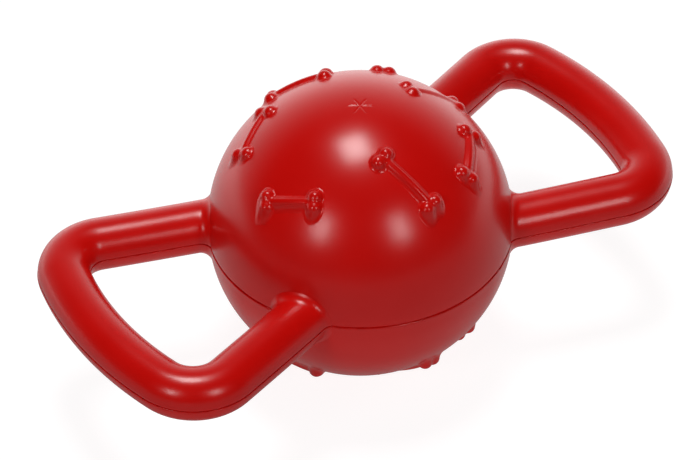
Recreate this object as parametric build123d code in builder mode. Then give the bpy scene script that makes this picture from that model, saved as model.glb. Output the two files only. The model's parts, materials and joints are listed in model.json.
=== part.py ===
from build123d import *
import os
from math import atan2, degrees, sqrt

os.makedirs("parts", exist_ok=True)

# A hollow rubber ball in two half shells, with a solid rubber loop handle captured on each side.
# Millimetres, +Z up. The origin is the ball's centre, the seam lies in the XY plane, and the
# handles reach out along X. The upper half and the lower half of the ball mirror each other.

# Ball
ball_radius = 62.5
wall = 6.0
seam_chamfer = 0.3              # break on both rims, which leaves a fine groove along the seam
bond_gap = 0.1                  # cement line between two curved faces that are bonded together

# Tongue of the lower rim and its groove in the upper rim
tongue_width = 2.0
tongue_height = 3.0

# Handles: two straight legs that splay outwards, and a grip that bows outwards between them
handle_radius = 10.65
foot_half_spacing = 34.5        # from the X axis to a leg's centreline where it meets the ball
corner_half_spacing = 54.4      # from the X axis to the corner of the centreline, before its bend
corner_bend = 17.8              # radius of the centreline's bend at each corner
grip_reach = 122.7              # from the ball's centre to the middle of the grip's centreline
grip_bow = 144.6                # radius of the grip's outward bow
root_flare = 5.0                # fillet where a leg runs out onto the ball
root_edge = 0.3                 # thickness of the flare's rim on the ball
anchor_lip = 3.5                # how far an anchor pad reaches past its leg, inside the ball
anchor_thickness = 3.5

# Raised bones: a shank with a pair of round knuckles at each end
knuckle_radius = 3.1
shank_radius = 1.8
# One line for each bone: bearing round the ball from +X, angle down from the pole, and the turn of
# the bone from the downhill direction, in degrees; then, in millimetres, its length between the two
# pairs of knuckles, the spacing within a pair, and how deep it is sunk in the ball.
bones = [
    (-162, 46.5, -67, 21.2, 4.0, 0.0),
    (-94, 36.3, 23.7, 26.8, 4.7, 0.0),
    (-45, 45.3, -80, 22.7, 5.4, 0.0),
    (2, 37.0, -10, 26.0, 5.2, 1.0),
    (47, 47.0, 20, 22.0, 5.0, 0.6),
    (96, 39.0, 48, 24.0, 4.8, 0.2),
    (140, 44.0, 61, 21.0, 6.5, 0.4),
]

# Six-armed mark at the pole, and the self-sealing plug under it
star_arms = 6
star_turn = 26                  # bearing of the first arm from +X, in degrees
star_arm_length = 5.0
star_arm_width = 0.7
star_depth = 0.4                # at the pole
plug_stem_radius = 3.0
plug_cover = 2.0                # wall left between the stem and the outside
plug_head_radius = 9.0
plug_head_thickness = 3.0

# Worked out from the sizes above
inner_radius = ball_radius - wall
rim_middle = ball_radius - wall / 2
grip_bow_centre = grip_reach - grip_bow
corner_reach = grip_bow_centre + sqrt(grip_bow**2 - corner_half_spacing**2)
foot_reach = sqrt(ball_radius**2 - foot_half_spacing**2)
leg_splay = degrees(atan2(corner_half_spacing - foot_half_spacing, corner_reach - foot_reach))
foot_length = 3 * (wall + anchor_thickness)   # long enough to end inside the hollow, where it is trimmed


def leg_frame(side, end):
    """Where a leg meets the ball, with z along the leg. side is 1 for +X, end is 1 for +Y."""
    turn = Rot(0, 0, end * leg_splay) if side > 0 else Rot(0, 0, 180 - end * leg_splay)
    return Pos(side * foot_reach, end * foot_half_spacing, 0) * turn * Rot(0, 90, 0)


def leg_frames(sides=(1, -1)):
    return [leg_frame(side, end) for side in sides for end in (1, -1)]


def ball_frame(bearing, tilt, turn):
    """A frame at the ball's centre whose z passes through the bone's middle and x runs along it."""
    return Rot(0, 0, bearing) * Rot(0, tilt, 0) * Rot(0, 0, turn)


def knuckle_places(bone, half_length, spacing, reach):
    """The four knuckle centres of one bone, at a reach from the ball's centre."""
    half_pair = degrees(spacing / ball_radius) / 2
    return [
        bone * Rot(0, end * half_length, 0) * Rot(side * half_pair, 0, 0) * Pos(0, 0, reach)
        for end in (1, -1)
        for side in (1, -1)
    ]


# ---- Half shell without its rim joint: the upper one as it lies, the lower one mirrored ----
with BuildPart() as blank:
    Sphere(ball_radius)
    for bearing, tilt, turn, length, spacing, sink in bones:
        bone = ball_frame(bearing, tilt, turn)
        half_length = degrees(length / ball_radius) / 2
        reach = ball_radius - sink
        with Locations(*knuckle_places(bone, half_length, spacing, reach)):
            Sphere(knuckle_radius)
        shank_end = Plane(bone * Rot(0, -half_length, 0) * Pos(0, 0, reach) * Rot(0, 90, 0))
        with BuildSketch(shank_end):
            Circle(shank_radius)
        bone_plane = Plane(bone)
        revolve(axis=Axis((0, 0, 0), bone_plane.y_dir), revolution_arc=2 * half_length)
    Sphere(inner_radius, mode=Mode.SUBTRACT)
    split(bisect_by=Plane.XY, keep=Keep.TOP)
    rim = blank.edges().filter_by(GeomType.CIRCLE).group_by(Axis.Z)[0].sort_by(SortBy.LENGTH)[-1]
    chamfer(rim, seam_chamfer)
    # Half sockets that close round the handles' feet
    with Locations(*leg_frames()):
        Cylinder(handle_radius + bond_gap, 2 * foot_length, mode=Mode.SUBTRACT)

# ---- Upper shell: groove in its rim, mark and blind seat for the plug at its pole ----
with BuildPart() as upper_shell:
    add(blank.part)
    with BuildSketch(Plane.XY):
        Circle(rim_middle + tongue_width / 2 + bond_gap)
        Circle(rim_middle - tongue_width / 2 - bond_gap, mode=Mode.SUBTRACT)
    extrude(amount=tongue_height + bond_gap, mode=Mode.SUBTRACT)
    with BuildSketch(Plane.XY.offset(ball_radius - star_depth)):
        with PolarLocations(0, star_arms // 2, start_angle=star_turn, angular_range=180):
            SlotOverall(2 * star_arm_length, star_arm_width)
    extrude(amount=2 * star_depth, mode=Mode.SUBTRACT)
    with BuildSketch(Plane.XY):
        Circle(plug_stem_radius + bond_gap)
    extrude(amount=ball_radius - plug_cover, mode=Mode.SUBTRACT)

# ---- Lower shell: the same half turned over, with a tongue on its rim ----
with BuildPart() as lower_shell:
    add(mirror(blank.part, about=Plane.XY))
    with BuildSketch(Plane.XY.offset(-tongue_height)):
        Circle(rim_middle + tongue_width / 2)
        Circle(rim_middle - tongue_width / 2, mode=Mode.SUBTRACT)
    extrude(amount=2 * tongue_height)
    with Locations(*leg_frames()):
        Cylinder(handle_radius + bond_gap, 2 * foot_length, mode=Mode.SUBTRACT)

# ---- Plug of soft gum: a stem in the blind seat and a head bonded to the inside of the wall ----
with BuildPart() as needle_plug:
    with BuildSketch(Plane.XY):
        Circle(plug_head_radius)
    extrude(amount=ball_radius)
    Sphere(inner_radius - bond_gap, mode=Mode.INTERSECT)
    with BuildSketch(Plane.XY):
        Circle(plug_stem_radius)
    extrude(amount=ball_radius - plug_cover - bond_gap)
    Sphere(inner_radius - plug_head_thickness, mode=Mode.SUBTRACT)


def handle(side):
    """One handle: loop, flares that lie on the ball, feet through the wall, anchor pads inside it."""
    corner = (side * corner_reach, corner_half_spacing)
    far_corner = (side * corner_reach, -corner_half_spacing)
    start = leg_frame(side, 1) * Pos(0, 0, -foot_length)
    finish = leg_frame(side, -1) * Pos(0, 0, -foot_length)
    with BuildLine() as centreline:
        Line(start.position, corner)
        ThreePointArc(corner, (side * grip_reach, 0), far_corner)
        Line(far_corner, finish.position)
        fillet(centreline.vertices().sort_by(Axis.X, reverse=side < 0)[-2:], corner_bend)

    # What stays of a leg inside the ball: a round foot through the wall, and a pad behind the wall
    with BuildPart() as feet:
        with Locations(*leg_frames([side])):
            Cylinder(handle_radius + anchor_lip, 2 * foot_length)
        Sphere(inner_radius - bond_gap, mode=Mode.INTERSECT)
        with Locations(*leg_frames([side])):
            Cylinder(handle_radius, 2 * foot_length)
        Sphere(inner_radius - anchor_thickness, mode=Mode.SUBTRACT)
    with BuildPart() as clearance:
        Sphere(ball_radius + bond_gap)
        add(feet.part, mode=Mode.SUBTRACT)

    with BuildPart() as loop:
        with BuildSketch(Plane(centreline.line @ 0, z_dir=centreline.line % 0)):
            Circle(handle_radius)
        sweep(path=centreline.line)
        Sphere(ball_radius - root_edge)
        fillet(loop.edges(Select.LAST).filter_by(GeomType.BSPLINE), root_flare)
        add(clearance.part, mode=Mode.SUBTRACT)
    return loop.part


left_handle = handle(-1)
right_handle = handle(1)

pieces = {
    "upper_shell": upper_shell.part,
    "lower_shell": lower_shell.part,
    "left_handle": left_handle,
    "right_handle": right_handle,
    "needle_plug": needle_plug.part,
}
for name, piece in pieces.items():
    piece.label = name
    export_step(piece, f"parts/{name}.step")
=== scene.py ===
import json
import math

import bpy
import numpy as np
from mathutils import Matrix, Vector


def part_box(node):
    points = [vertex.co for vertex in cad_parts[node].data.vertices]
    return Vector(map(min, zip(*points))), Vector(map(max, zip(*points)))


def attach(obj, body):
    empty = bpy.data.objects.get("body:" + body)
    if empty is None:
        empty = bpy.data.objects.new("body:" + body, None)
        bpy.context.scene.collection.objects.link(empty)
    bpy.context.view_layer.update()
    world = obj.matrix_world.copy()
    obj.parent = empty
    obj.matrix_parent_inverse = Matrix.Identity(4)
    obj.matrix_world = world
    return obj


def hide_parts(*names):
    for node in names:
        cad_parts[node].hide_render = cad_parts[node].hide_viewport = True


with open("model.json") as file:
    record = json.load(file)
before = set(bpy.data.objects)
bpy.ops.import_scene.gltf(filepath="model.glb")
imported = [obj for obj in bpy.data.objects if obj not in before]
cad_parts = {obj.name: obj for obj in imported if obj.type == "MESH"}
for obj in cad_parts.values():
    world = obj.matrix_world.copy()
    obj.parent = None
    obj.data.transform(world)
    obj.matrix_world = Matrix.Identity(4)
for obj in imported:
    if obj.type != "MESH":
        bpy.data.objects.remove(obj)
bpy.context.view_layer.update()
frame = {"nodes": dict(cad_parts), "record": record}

# ---------------------------------------------------------------------------------------------
# Sizes, in metres. The ball's centre is the origin and the seam lies in the XY plane.
# ---------------------------------------------------------------------------------------------
shell_low, shell_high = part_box("upper_shell")
ball_radius = (shell_high.x - shell_low.x) / 2
mounts = {mount["name"]: mount for mount in frame["record"]["mounts"]}
grip = mounts["right_grip"]
grip_reach = grip["pos_m"][0]
handle_radius = grip["dims"]["r_mm"] / 1000

wall = 0.006

# Handle loops: two straight legs that splay outwards, and a grip that bows outwards between them
foot_half_spacing = 0.0345
corner_half_spacing = 0.0544
corner_bend = 0.0178
grip_bow = 0.1446
root_flare = 0.005
root_edge = 0.0003              # how far the flare's rim sinks under the ball's skin
root_depth = 0.002              # how far the hidden end of a leg reaches into the wall

# Seam: an uneven groove, with the lower lip standing out by a hair past the upper one
seam_step = 0.00018
seam_lip = 0.0003               # rounding of the lips
ball_low_lip = 0.0006           # the ball's lower lip is rounder, and catches the light
seam_blend = math.radians(4)    # the lower half is back at the ball's size this far below the seam
ball_gap, ball_groove = 0.0005, 0.0006          # width and depth of the groove round the ball
handle_gap, handle_groove = 0.00025, 0.0004     # and of the one round the handles
seam_waves = [(0.5, 7, 1.3), (0.3, 19, 0.4), (0.2, 43, 2.1)]    # share, waves round the ball, phase
gap_waver = 0.25                # how much the waves widen and narrow the ball's groove
# Flaws of the groove: bearing and half width in degrees, and the share of its width that they add
# where it is torn open, or take away where flash bridges it
flaws = [(-59.5, 0.9, 1.3), (-127.0, 0.7, -0.8), (-176.0, 9.0, 0.6), (-160.0, 1.0, 0.8)]

# The rubber handles are bent a little out of true towards their grips, up and towards +Y
handle_lift, handle_sway = 0.0014, 0.0005
bend_growth = 1.3               # power of the way along the handle that the bend grows with

# Raised bones
knuckle_radius = 0.0031
shank_radius = 0.0018
bone_blend = 0.001              # softness where shank and knuckles run together
base_blend = 0.0014             # fillet round the bone's foot
draft = math.tan(math.radians(8))   # slope of the sides, which the mould draws straight down
draft_depth = 0.01              # the drawn sides run this far down, to below the ball's skin
bone_sink = 0.00005             # the fillet's rim ends this far under the ball's skin
# One line for each bone: bearing round the ball from +X, angle down from the pole, and the turn of
# the bone from the downhill direction, in degrees; then, in millimetres, its length between the two
# pairs of knuckles, the spacing within a pair, and how deep it is sunk in the ball.
bones = [
    (-162, 46.5, -67, 21.2, 4.0, 0.0),
    (-94, 36.3, 23.7, 26.8, 4.7, 0.0),
    (-45, 45.3, -80, 22.7, 5.4, 0.0),
    (2, 37.0, -10, 26.0, 5.2, 1.0),
    (47, 47.0, 20, 22.0, 5.0, 0.6),
    (96, 39.0, 48, 24.0, 4.8, 0.2),
    (140, 44.0, 61, 21.0, 6.5, 0.4),
]

# Six-armed mark at the pole
star_arms = 6
star_turn = math.radians(26)
star_arm_length = 0.005
star_arm_width = 0.0007
star_depth = 0.00015

sharp_angle = math.radians(50)  # edges sharper than this aren't smoothed over


# ---------------------------------------------------------------------------------------------
# Mesh helpers
# ---------------------------------------------------------------------------------------------
def add_piece(name, points, faces, material, body="root"):
    """A smooth-shaded mesh object that rides on a body of the frame."""
    mesh = bpy.data.meshes.new(name)
    mesh.from_pydata([tuple(p) for p in points], [], faces)
    mesh.validate()
    mesh.shade_smooth()
    mesh.set_sharp_from_angle(angle=sharp_angle)
    mesh.materials.append(material)
    piece = bpy.data.objects.new(name, mesh)
    bpy.context.scene.collection.objects.link(piece)
    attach(piece, body)
    return piece


def skin_rings(rings, first_tip, last_tip):
    """Points and faces of a closed skin over a stack of rings, ending in a point at each end."""
    count, around = rings.shape[:2]
    points = np.vstack([rings.reshape(-1, 3), first_tip, last_tip])
    faces = []
    for i in range(count - 1):
        for j in range(around):
            k = (j + 1) % around
            faces.append((i * around + j, i * around + k, (i + 1) * around + k, (i + 1) * around + j))
    first, last = count * around, count * around + 1
    top = (count - 1) * around
    for j in range(around):
        k = (j + 1) % around
        faces.append((first, k, j))
        faces.append((last, top + j, top + k))
    return points, faces


def ease(x):
    """A smooth step that rises from 0 to 1 as x does."""
    x = np.clip(x, 0, 1)
    return x * x * (3 - 2 * x)


def seam_waver(t):
    """Small unevenness of the seam's lips, from -1 to 1, for a position t along the seam in radians."""
    return sum(share * np.sin(count * t + phase) for share, count, phase in seam_waves)


def groove_width(t):
    """Width of the ball's groove at a bearing t: wavering, with a few flaws."""
    width = 1 + gap_waver * seam_waver(t)
    for bearing, half_width, share in flaws:
        off = (np.degrees(t) - bearing + 180) % 360 - 180
        width += share * np.exp(-((off / half_width) ** 2))
    return ball_gap * width


# ---------------------------------------------------------------------------------------------
# Ball: two hollow half shells
# ---------------------------------------------------------------------------------------------
def star_groove(x, y):
    """Depth of the six-armed mark at a point beside the pole."""
    bearing = np.arctan2(y, x) - star_turn
    sector = 2 * math.pi / star_arms
    off_arm = (bearing + sector / 2) % sector - sector / 2
    out = np.hypot(x, y)
    across = np.abs(out * np.sin(off_arm))
    along = out * np.cos(off_arm)
    beside = 1 - ease(across / star_arm_width)
    fade_start, fade_length = 0.8 * star_arm_length, 0.3 * star_arm_length
    reach = 1 - ease((along - fade_start) / fade_length)
    return star_depth * beside * reach


def half_shell(name, up, material):
    """One half of the ball as a closed skin: outside, rounded lip, rim and inside."""
    around = 480
    bearing = np.arange(around) * 2 * math.pi / around
    gap = np.zeros(around) if up else groove_width(bearing)
    # Rings, in degrees from the pole: close ones over the mark, wider ones down to the lip
    first_ring, ring_step, mark_edge, dome_start = 0.12, 0.11, 6.4, 6.5
    dome_count, lip_count, inner_count = 110, 7, 45
    lip = seam_lip if up else ball_low_lip
    rim = math.asin((gap.max() + lip) / ball_radius)
    above_lip = 0.001
    mark_rings = np.radians(np.arange(first_ring, mark_edge, ring_step))
    dome_rings = np.linspace(math.radians(dome_start), math.pi / 2 - rim - above_lip, dome_count)
    rings = []
    for angle in np.concatenate([mark_rings, dome_rings]):
        radius = np.full(around, ball_radius)
        if up:
            out = radius * math.sin(angle)
            radius = radius - star_groove(out * np.cos(bearing), out * np.sin(bearing))
        else:
            radius += seam_step * ease((angle - math.pi / 2 + seam_blend) / seam_blend)
        rings.append([radius * math.sin(angle), radius * math.cos(angle)])
    edge = ball_radius + (0 if up else seam_step)
    for turn in np.radians(np.linspace(0, 90, lip_count)):
        rings.append([np.full(around, edge - lip * (1 - math.cos(turn))), gap + lip * (1 - math.sin(turn))])
    behind = np.full(around, ball_radius - ball_groove)
    if not up:
        rings.append([behind, gap])
    rings.append([behind, np.zeros(around)])
    inner = ball_radius - wall
    for angle in np.radians(np.linspace(90, 2, inner_count)):
        rings.append([np.full(around, inner * math.sin(angle)), np.full(around, inner * math.cos(angle))])
    side = 1 if up else -1
    spread = np.array([r[0] for r in rings])
    height = np.array([r[1] for r in rings]) * side
    stack = np.stack([spread * np.cos(bearing), spread * np.sin(bearing), height], axis=2)
    top = ball_radius - (star_depth if up else 0)
    points, faces = skin_rings(stack, (0, 0, side * top), (0, 0, side * inner))
    if up:
        faces = [f[::-1] for f in faces]
    return add_piece(name, points, faces, material)


# ---------------------------------------------------------------------------------------------
# Handles: one solid loop each, flared where its legs run out onto the ball
# ---------------------------------------------------------------------------------------------
def loop_section():
    """One cross-section of the loop, as (outwards, up) offsets, counter-clockwise from the outer seam."""
    upper, lower = handle_radius, handle_radius + seam_step
    arc_points = 49

    def arc(radius, start):
        turns = np.linspace(start, math.pi - start, arc_points)
        return [(radius * math.cos(a), radius * math.sin(a)) for a in turns]

    top = arc(upper, math.asin(seam_lip / upper))
    bottom = [(x, -y) for x, y in arc(lower, math.asin((handle_gap + seam_lip) / lower))]
    turns = np.radians((30, 60, 90))
    lip = [(upper - seam_lip * (1 - math.cos(a)), seam_lip * (1 - math.sin(a))) for a in turns]
    groove = [(upper - handle_groove, 0.0), (upper - handle_groove, -handle_gap)]
    low_lip = [
        (lower - seam_lip * (1 - math.cos(a)), -handle_gap - seam_lip * (1 - math.sin(a)))
        for a in turns[::-1]
    ]
    side = lip + groove + low_lip
    return np.array(top + [(-x, y) for x, y in side] + bottom[::-1] + side[::-1])


def leg_and_bends():
    """The XY points where leg, corner bend and grip meet, and the leg's direction, for +X and +Y."""
    bow_centre = np.array([grip_reach - grip_bow, 0.0])
    corner = np.array([bow_centre[0] + math.sqrt(grip_bow**2 - corner_half_spacing**2), corner_half_spacing])
    foot = np.array([math.sqrt(ball_radius**2 - foot_half_spacing**2), foot_half_spacing])
    along = (corner - foot) / np.linalg.norm(corner - foot)
    inward = np.array([along[1], -along[0]])
    # The bend's centre is one bend radius inside both the leg and the grip's arc
    start = foot + corner_bend * inward - bow_centre
    b = start @ along
    c = start @ start - (grip_bow - corner_bend) ** 2
    bend_centre = foot + corner_bend * inward + along * (-b + math.sqrt(b * b - c))
    return bow_centre, foot, along, inward, bend_centre


def half_loop_rings():
    """Rings from the hidden end of the +Y leg to the middle of the grip, for the +X handle."""
    section = loop_section()
    out, up = section[:, 0], section[:, 1]
    bow_centre, foot, along, inward, bend_centre = leg_and_bends()
    outward = -inward
    flare_rings, leg_rings, bend_rings, grip_rings = 13, 22, 29, 33
    rings = []

    def ring(centre, normal):
        flat = centre + out[:, None] * normal
        return np.column_stack([flat, up])

    # Flare: a ball of the fillet's radius rolls round the leg, touching the leg and the ball
    reach = np.hypot(out, up)
    spoke = np.column_stack([out[:, None] * outward, up]) / reach[:, None]
    axis = np.array([along[0], along[1], 0.0])
    skin = ball_radius - root_edge - (handle_radius - reach)
    base = np.array([foot[0], foot[1], 0.0]) + spoke * (reach + root_flare)[:, None]
    b = base @ axis
    c = (base * base).sum(1) - (skin + root_flare) ** 2
    travel = -b + np.sqrt(b * b - c)
    hub = base + travel[:, None] * axis
    to_leg = -spoke
    to_ball = -hub / np.linalg.norm(hub, axis=1)[:, None]
    angle = np.arccos(np.clip((to_leg * to_ball).sum(1), -1, 1))[:, None]
    for share in np.linspace(1, 0, flare_rings)[:-1]:
        turned = (np.sin((1 - share) * angle) * to_leg + np.sin(share * angle) * to_ball) / np.sin(angle)
        rings.append(hub + root_flare * turned)
    hidden = rings[0] * (1 - root_depth / ball_radius)
    rings.insert(0, hidden)

    # Leg: from the flare's upper end, which runs round the leg on a slant, to the bend
    bend_start = bend_centre + corner_bend * outward
    leg_end = (bend_start - foot) @ along
    for share in np.linspace(0, 1, leg_rings)[:-1]:
        place = travel * (1 - share) + leg_end * share
        centre = foot + place[:, None] * along
        rings.append(np.column_stack([centre + out[:, None] * outward, up]))

    # Corner bend, then the grip's bow to its middle
    first = math.atan2(outward[1], outward[0])
    last = math.atan2(*(bend_centre - bow_centre)[::-1])
    for a in np.linspace(first, last, bend_rings)[:-1]:
        normal = np.array([math.cos(a), math.sin(a)])
        rings.append(ring(bend_centre + corner_bend * normal, normal))
    for a in np.linspace(last, 0, grip_rings):
        normal = np.array([math.cos(a), math.sin(a)])
        rings.append(ring(bow_centre + grip_bow * normal, normal))
    return np.array(rings)


def loop_handle(name, side, material):
    """A whole handle on the +X (side 1) or -X (side -1) side, bent a little out of true."""
    half = half_loop_rings()
    mirrored = half[-2::-1] * (1, -1, 1)
    rings = np.concatenate([half, mirrored])
    points, faces = skin_rings(rings, rings[0].mean(0), rings[-1].mean(0))
    leg_start = math.sqrt(ball_radius**2 - foot_half_spacing**2)
    share = np.maximum(points[:, 0] - leg_start, 0) / (grip_reach - leg_start)
    bend = share[:, None] ** bend_growth * (0, side * handle_sway, handle_lift)
    return add_piece(name, (points + bend) * (side, side, 1), faces, material)


# ---------------------------------------------------------------------------------------------
# Raised bones
# ---------------------------------------------------------------------------------------------
def soft_min(a, b, blend):
    """The smaller of two distances, rounded over where they are nearly equal."""
    near = np.maximum(blend - np.abs(a - b), 0) / blend
    return np.minimum(a, b) - near * near * blend / 4


def swept_distance(p, centres, down, radius):
    """Distance to round bodies about the centres, each drawn straight down as the mould opens."""
    drop = (p @ down)[:, None] - centres @ down
    fall = np.clip(drop, 0, draft_depth)
    square = (p * p).sum(1)[:, None] + (centres * centres).sum(1) - 2 * p @ centres.T
    square += fall * fall - 2 * fall * drop
    return (np.sqrt(np.maximum(square, 0)) - draft * fall).min(1) - radius


def bone_distance(p, bone):
    """Signed distance to a bone on top of the ball, run smoothly into the ball's skin."""
    spine, knuckles, down = bone
    shape = swept_distance(p, spine, down, shank_radius)
    for centre in knuckles:
        shape = soft_min(shape, swept_distance(p, centre[None], down, knuckle_radius), bone_blend)
    skin = np.linalg.norm(p, axis=1) - (ball_radius - bone_sink)
    return soft_min(skin, shape, base_blend)


def settle_on_bone(p, bone):
    """Moves points onto the bone's surface, along its slope."""
    nudge = 1e-6
    for _ in range(2):
        here = bone_distance(p, bone)
        slope = np.column_stack([bone_distance(p + nudge * side, bone) - here for side in np.eye(3)]) / nudge
        p = p - (here / (slope * slope).sum(1))[:, None] * slope
    return p


def bone_shape(down, length, spacing, sink):
    """Points and faces of one bone, closed underneath, lying along X on top of the ball.

    down is the direction in which the mould draws its sides.
    """
    spine_count = 80
    half = length / ball_radius / 2
    spread = spacing / ball_radius / 2
    line = np.linspace(-half, half, spine_count)
    spine = np.column_stack([np.sin(line), np.zeros_like(line), np.cos(line)])
    knuckles = np.array([
        (math.sin(end) * math.cos(side), math.sin(side), math.cos(end) * math.cos(side))
        for end in (half, -half)
        for side in (spread, -spread)
    ])
    bone = (ball_radius - sink) * spine, (ball_radius - sink) * knuckles, down
    cell = 0.0003
    room = 0.004                # bare skin left round the bone, for its fillet
    margin = (knuckle_radius + room) / ball_radius
    long_side, short_side = half + margin, spread + margin
    rows, columns = (int(2 * side * ball_radius / cell) for side in (long_side, short_side))
    a, b = np.meshgrid(
        np.linspace(-long_side, long_side, rows), np.linspace(-short_side, short_side, columns), indexing="ij"
    )
    way = np.stack([np.sin(a) * np.cos(b), np.sin(b), np.cos(a) * np.cos(b)], axis=2).reshape(-1, 3)
    # Close in on the surface from well below and well above it
    below, above, halvings = 0.001, 0.006, 16
    low = np.full(len(way), ball_radius - below)
    high = np.full(len(way), ball_radius + above)
    for _ in range(halvings):
        middle = (low + high) / 2
        outside = bone_distance(way * middle[:, None], bone) > 0
        high = np.where(outside, middle, high)
        low = np.where(outside, low, middle)
    p = (way * high[:, None]).reshape(rows, columns, 3)
    # Even out the cells, so that the steep sides get their share
    pull = 0.6                  # share of the way that a point moves to the middle of its neighbours
    rounds = 5
    for _ in range(rounds):
        mean = (p[2:, 1:-1] + p[:-2, 1:-1] + p[1:-1, 2:] + p[1:-1, :-2]) / 4
        p[1:-1, 1:-1] = p[1:-1, 1:-1] * (1 - pull) + mean * pull
        p = settle_on_bone(p.reshape(-1, 3), bone).reshape(rows, columns, 3)
    # Keep the cells that stand clear of the ball's skin, and one ring more
    clear_level = ball_radius - 0.6 * bone_sink
    proud = np.linalg.norm(p, axis=2) > clear_level
    cells = proud[1:, 1:] | proud[1:, :-1] | proud[:-1, 1:] | proud[:-1, :-1]
    number = {}
    points, faces = [], []
    for i, j in zip(*np.nonzero(cells)):
        corners = ((i, j), (i + 1, j), (i + 1, j + 1), (i, j + 1))
        for corner in corners:
            if corner not in number:
                number[corner] = len(points)
                points.append(p[corner])
        faces.append(tuple(number[corner] for corner in corners))
    top = np.array(points)
    count = len(top)
    underside = ball_radius - 0.0006
    under = top / np.linalg.norm(top, axis=1)[:, None] * underside
    edges = {(m, n) for f in faces for m, n in zip(f, f[1:] + f[:1])}
    sides = [(n, m, m + count, n + count) for m, n in edges if (n, m) not in edges]
    bottom = [tuple(v + count for v in f[::-1]) for f in faces]
    return np.vstack([top, under]), faces + sides + bottom


def place_bones(material):
    """The ring of bones on the upper half, and the same ones mirrored in the seam on the lower half."""
    for i, (bearing, tilt, turn, length, spacing, sink) in enumerate(bones):
        spin = (
            Matrix.Rotation(math.radians(bearing), 3, "Z")
            @ Matrix.Rotation(math.radians(tilt), 3, "Y")
            @ Matrix.Rotation(math.radians(turn), 3, "Z")
        )
        spin = np.array(spin)
        points, faces = bone_shape(-spin[2], length / 1000, spacing / 1000, sink / 1000)
        placed = points @ spin.T
        for name, side in (("upper_bone", 1), ("lower_bone", -1)):
            own_faces = faces if side > 0 else [f[::-1] for f in faces]
            piece = add_piece(f"{name}_{i + 1}", placed * (1, 1, side), own_faces, material)


# ---------------------------------------------------------------------------------------------
# Materials
# ---------------------------------------------------------------------------------------------
def new_group(name, inputs, outputs):
    """An empty shader node group with float inputs (name, default) and named outputs (name, type)."""
    group = bpy.data.node_groups.new(name, "ShaderNodeTree")
    for label, default in inputs:
        socket = group.interface.new_socket(label, in_out="INPUT", socket_type="NodeSocketFloat")
        socket.default_value = default
    for label, kind in outputs:
        group.interface.new_socket(label, in_out="OUTPUT", socket_type=kind)
    return group, group.nodes.new("NodeGroupInput"), group.nodes.new("NodeGroupOutput")


def math_node(nodes, links, operation, a, b):
    """The result of a math node on two inputs, each of them a socket or a number."""
    node = nodes.new("ShaderNodeMath")
    node.operation = operation
    for socket, value in zip(node.inputs, (a, b)):
        if isinstance(value, bpy.types.NodeSocket):
            links.new(value, socket)
        else:
            socket.default_value = value
    return node.outputs[0]


def moulded_skin_group():
    """Fine grain and the slow waviness of moulded rubber, as one height in metres.

    The mottle is the waviness on its own, from 0 to 1.
    """
    group, given, result = new_group(
        "moulded skin",
        [("Grain Scale", 4000.0), ("Grain Depth", 0.00001), ("Wave Scale", 60.0), ("Wave Depth", 0.00005)],
        [("Height", "NodeSocketFloat"), ("Mottle", "NodeSocketFloat")],
    )
    nodes, links = group.nodes, group.links
    place = nodes.new("ShaderNodeTexCoord")
    total = None
    for scale, depth in (("Grain Scale", "Grain Depth"), ("Wave Scale", "Wave Depth")):
        noise = nodes.new("ShaderNodeTexNoise")
        noise.inputs["Detail"].default_value = 2.0
        links.new(place.outputs["Object"], noise.inputs["Vector"])
        links.new(given.outputs[scale], noise.inputs["Scale"])
        height = math_node(nodes, links, "MULTIPLY", noise.outputs["Fac"], given.outputs[depth])
        total = height if total is None else math_node(nodes, links, "ADD", total, height)
    links.new(total, result.inputs["Height"])
    links.new(noise.outputs["Fac"], result.inputs["Mottle"])
    return group


def rubber(name, group, deep, bright, roughness, spread, grain, wave):
    """Rubber whose colour and gloss drift a little, under a skin of grain and slow waves."""
    material = bpy.data.materials.new(name)
    material.use_nodes = True
    nodes, links = material.node_tree.nodes, material.node_tree.links
    shader = nodes["Principled BSDF"]
    shader.inputs["IOR"].default_value = 1.5
    skin = nodes.new("ShaderNodeGroup")
    skin.node_tree = group
    skin.inputs["Grain Scale"].default_value, skin.inputs["Grain Depth"].default_value = grain
    skin.inputs["Wave Scale"].default_value, skin.inputs["Wave Depth"].default_value = wave
    bump = nodes.new("ShaderNodeBump")
    bump.inputs["Strength"].default_value = 1.0
    bump.inputs["Distance"].default_value = 1.0
    links.new(skin.outputs["Height"], bump.inputs["Height"])
    links.new(bump.outputs["Normal"], shader.inputs["Normal"])
    tint = nodes.new("ShaderNodeMix")
    tint.data_type = "RGBA"
    tint.inputs["A"].default_value = (*deep, 1)
    tint.inputs["B"].default_value = (*bright, 1)
    links.new(skin.outputs["Mottle"], tint.inputs["Factor"])
    links.new(tint.outputs["Result"], shader.inputs["Base Color"])
    gloss = nodes.new("ShaderNodeMapRange")
    gloss.inputs["To Min"].default_value = roughness - spread
    gloss.inputs["To Max"].default_value = roughness + spread
    links.new(skin.outputs["Mottle"], gloss.inputs["Value"])
    links.new(gloss.outputs["Result"], shader.inputs["Roughness"])
    return material


skin_group = moulded_skin_group()
deep_red, bright_red = (0.72, 0.0040, 0.0022), (0.80, 0.0054, 0.0038)
ball_rubber = rubber(
    "matte red ball rubber", skin_group, deep_red, bright_red,
    roughness=0.25, spread=0.02, grain=(3500, 0.000004), wave=(40, 0.00004),
)
handle_rubber = rubber(
    "glossy red handle rubber", skin_group, deep_red, bright_red,
    roughness=0.255, spread=0.015, grain=(2500, 0.000002), wave=(70, 0.00005),
)
bone_rubber = rubber(
    "polished red bone rubber", skin_group, deep_red, bright_red,
    roughness=0.24, spread=0.02, grain=(2500, 0.000001), wave=(150, 0.00002),
)
plug_gum = rubber(
    "tan plug gum", skin_group, (0.42, 0.27, 0.12), (0.50, 0.33, 0.16),
    roughness=0.6, spread=0.05, grain=(2000, 0.00001), wave=(100, 0.00002),
)

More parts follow.
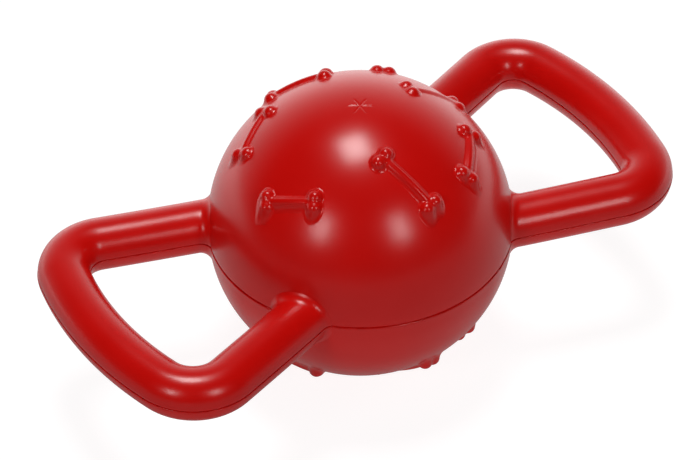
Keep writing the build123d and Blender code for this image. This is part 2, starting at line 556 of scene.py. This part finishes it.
# ---------------------------------------------------------------------------------------------
# The pieces
# ---------------------------------------------------------------------------------------------
upper_half = half_shell("upper_half", True, ball_rubber)
lower_half = half_shell("lower_half", False, ball_rubber)
for piece, node in ((upper_half, "upper_shell"), (lower_half, "lower_shell")):
    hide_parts(node)

for name, side in (("right_loop", 1), ("left_loop", -1)):
    piece = loop_handle(name, side, handle_rubber)
    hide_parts(name.replace("loop", "handle"))

place_bones(bone_rubber)

plug = frame["nodes"]["needle_plug"]
plug.data.materials.clear()
plug.data.materials.append(plug_gum)


# ---------------------------------------------------------------------------------------------
# Floor, light and camera
# ---------------------------------------------------------------------------------------------
def unit(azimuth, elevation):
    """Direction from the ball towards a viewer: azimuth 0 stands at -Y, 90 at +X."""
    a, e = math.radians(azimuth), math.radians(elevation)
    return Vector((math.sin(a) * math.cos(e), -math.cos(a) * math.cos(e), math.sin(e)))


view_azimuth, view_elevation, view_roll = -34.03, 41.75, -0.31
view_distance = 24.62 * ball_radius
back = unit(view_azimuth, view_elevation)
right = Vector((math.cos(math.radians(view_azimuth)), math.sin(math.radians(view_azimuth)), 0))
up = back.cross(right)
roll = math.radians(view_roll)
right, up = right * math.cos(roll) + up * math.sin(roll), up * math.cos(roll) - right * math.sin(roll)
aim_right, aim_up = -0.0676, -0.0467
aim = (right * aim_right + up * aim_up) * ball_radius

camera_data = bpy.data.cameras.new("camera")
camera_data.lens = 193.5
camera_data.clip_start, camera_data.clip_end = 0.05, 20
camera = bpy.data.objects.new("camera", camera_data)
bpy.context.scene.collection.objects.link(camera)
stand = aim + back * view_distance
camera.matrix_world = Matrix((
    (right.x, up.x, back.x, stand.x),
    (right.y, up.y, back.y, stand.y),
    (right.z, up.z, back.z, stand.z),
    (0, 0, 0, 1),
))
bpy.context.scene.camera = camera


def softbox(name, direction, width, height, radiance, distance=2.0):
    """A square diffuser of even brightness that faces the ball."""
    data = bpy.data.lights.new(name, "AREA")
    data.shape = "RECTANGLE"
    data.size, data.size_y = width, height
    data.energy = radiance * math.pi * width * height
    lamp = bpy.data.objects.new(name, data)
    bpy.context.scene.collection.objects.link(lamp)
    lamp.location = direction.normalized() * distance
    lamp.rotation_mode = "QUATERNION"
    lamp.rotation_quaternion = (-direction).to_track_quat("-Z", "Y")


def seen_direction(x, y, z):
    """A direction given as right, up and towards the camera."""
    return right * x + up * y + back * z


softbox(
    "overhead softbox", seen_direction(-0.06, 0.84, 0.54),
    width=0.86, height=1.02, radiance=15.5, distance=3.0,
)
softbox("left softbox", seen_direction(-0.48, -0.06, 0.87), width=0.38, height=0.56, radiance=9)
softbox("right softbox", seen_direction(0.48, -0.06, 0.87), width=0.38, height=0.6, radiance=7.8)

# Direction along the floor towards the viewer
ahead = Vector((back.x, back.y, 0)).normalized()


def clamp_range(nodes, links, value, low, high, at_low, at_high, smooth=True):
    """Runs value from at_low to at_high between low and high, and holds it outside."""
    node = nodes.new("ShaderNodeMapRange")
    node.interpolation_type = "SMOOTHSTEP" if smooth else "LINEAR"
    for socket, number in zip(("From Min", "From Max", "To Min", "To Max"), (low, high, at_low, at_high)):
        node.inputs[socket].default_value = number
    links.new(value, node.inputs["Value"])
    return node.outputs["Result"]


def along(nodes, links, place, way):
    """How far a place or direction reaches along a fixed direction."""
    node = nodes.new("ShaderNodeVectorMath")
    node.operation = "DOT_PRODUCT"
    node.inputs[1].default_value = way
    links.new(place, node.inputs[0])
    return node.outputs["Value"]


def seen_by(nodes, links, value, rays, strength):
    """The given strength, but another one for one kind of ray."""
    path = nodes.new("ShaderNodeLightPath")
    pick = nodes.new("ShaderNodeMix")
    pick.data_type = "FLOAT"
    pick.inputs["B"].default_value = strength
    links.new(path.outputs[rays], pick.inputs["Factor"])
    links.new(value, pick.inputs["A"])
    return pick.outputs["Result"]


# White floor that glows with painted light, though it is no lamp. In reflections its painted glow is bright
# behind the ball and fades out to nothing in front of it; the camera and the ball's own shading see it evenly
# lit.
floor_half = 3.0
bpy.ops.mesh.primitive_plane_add(size=2 * floor_half, location=(0, 0, -ball_radius))
floor = bpy.context.object
floor.name = "floor"
paper = bpy.data.materials.new("white paper with painted glow")
paper.use_nodes = True
nodes, links = paper.node_tree.nodes, paper.node_tree.links
shader = nodes["Principled BSDF"]
shader.inputs["Base Color"].default_value = (0.25, 0.25, 0.25, 1)
shader.inputs["Roughness"].default_value = 0.9
shader.inputs["Specular IOR Level"].default_value = 0.0
# Painted light: the floor's emission lights the ball and shows in its reflections
shader.inputs["Emission Color"].default_value = (1, 1, 1, 1)
place = nodes.new("ShaderNodeTexCoord")
forward = along(nodes, links, place.outputs["Object"], ahead)
glow = clamp_range(nodes, links, forward, low=-0.5, high=0.22, at_low=1.3, at_high=0.0)
glow = seen_by(nodes, links, glow, "Is Diffuse Ray", strength=0.45)
glow = seen_by(nodes, links, glow, "Is Camera Ray", strength=0.9)
links.new(glow, shader.inputs["Emission Strength"])
floor.data.materials.append(paper)

world = bpy.data.worlds.new("studio")
bpy.context.scene.world = world
world.use_nodes = True
nodes, links = world.node_tree.nodes, world.node_tree.links
shade = nodes["Background"]
shade.inputs["Color"].default_value = (1, 1, 1, 1)
direction = nodes.new("ShaderNodeTexCoord")
facing = along(nodes, links, direction.outputs["Generated"], back)
# White paper all round: brightest straight behind the ball, and dark behind the camera, which
# itself sees it plain white
behind = clamp_range(nodes, links, facing, low=-0.85, high=0.15, at_low=1.0, at_high=0.0, smooth=False)
falloff, brightest = 1.8, 1.9
curve = math_node(nodes, links, "POWER", behind, falloff)
glow = math_node(nodes, links, "MULTIPLY", curve, brightest)
links.new(seen_by(nodes, links, glow, "Is Camera Ray", strength=1.0), shade.inputs["Strength"])

bpy.context.scene.view_settings.view_transform = "Standard"
